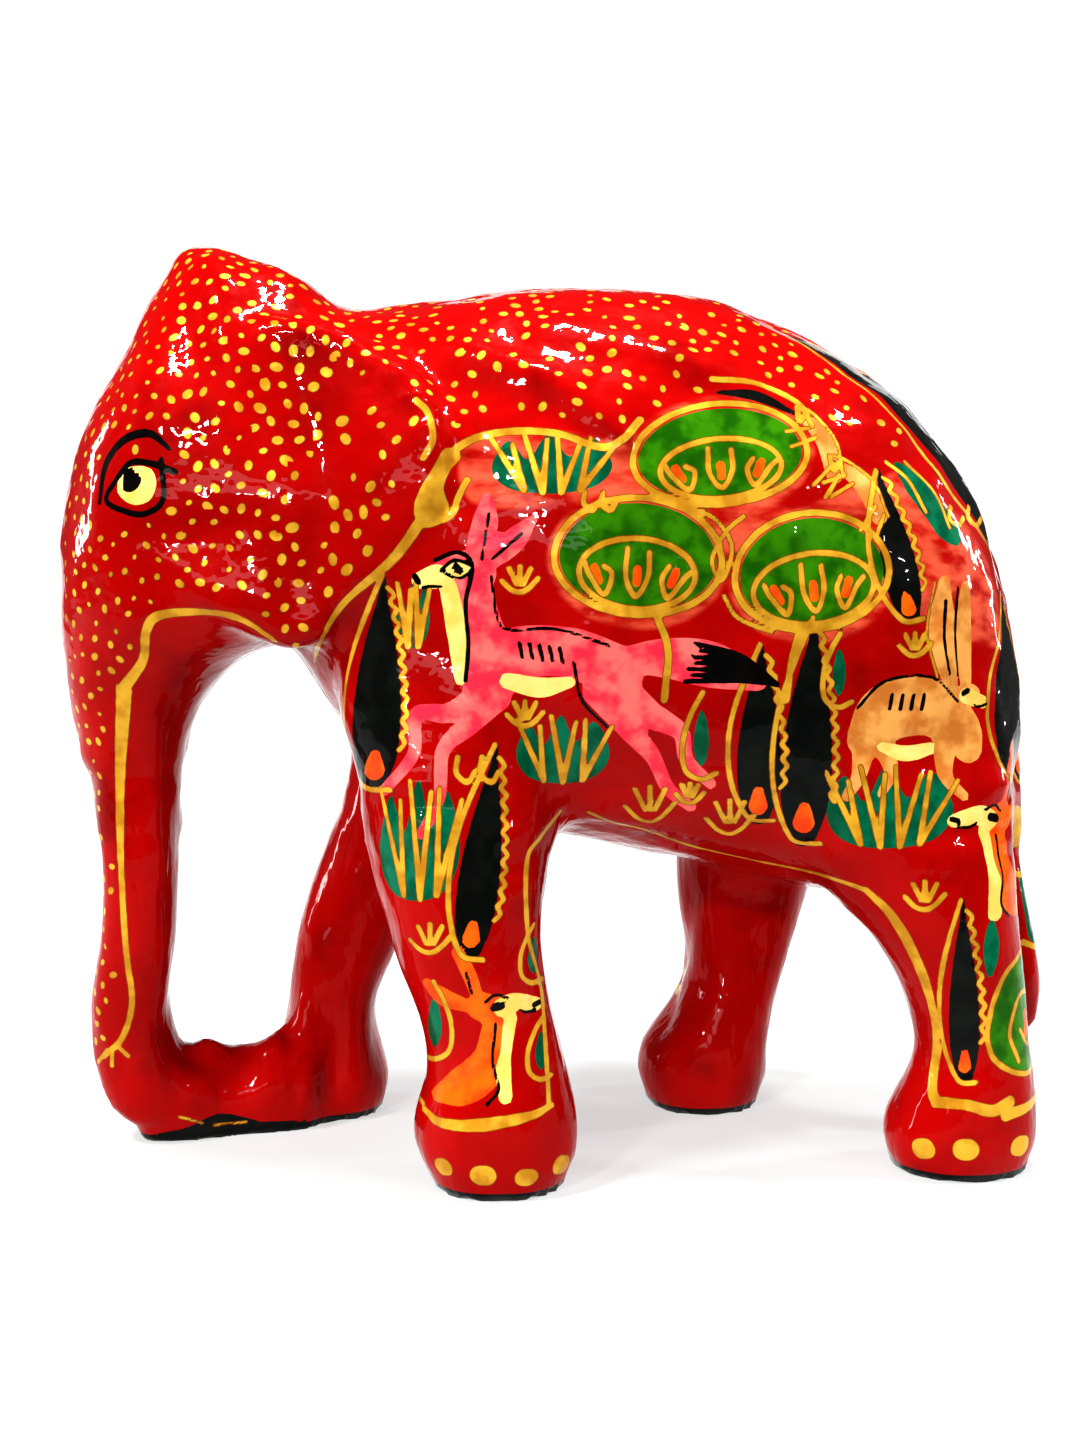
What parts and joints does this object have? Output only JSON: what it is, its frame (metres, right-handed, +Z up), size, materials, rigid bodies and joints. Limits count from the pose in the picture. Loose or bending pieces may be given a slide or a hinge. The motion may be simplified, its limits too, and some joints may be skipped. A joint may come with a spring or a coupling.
{
  "type": "papier-mache elephant figure",
  "caption": "Small standing papier-mache elephant, walking, with its trunk curled back along the ground, red lacquer with painted trees and animals.",
  "frame": {"origin": "the middle of the figure's box, on the surface that it stands on", "axes": "+Z up, -X the way the elephant walks and faces, -Y its left side"},
  "size_m": [0.1524, 0.0694, 0.1394],
  "materials": {
    "red_lacquer": "high-gloss clear varnish over hand-painted red lacquer on papier-mache"
  },
  "bodies": {
    "root": {"elephant": "red_lacquer"}
  },
  "joints": []
}
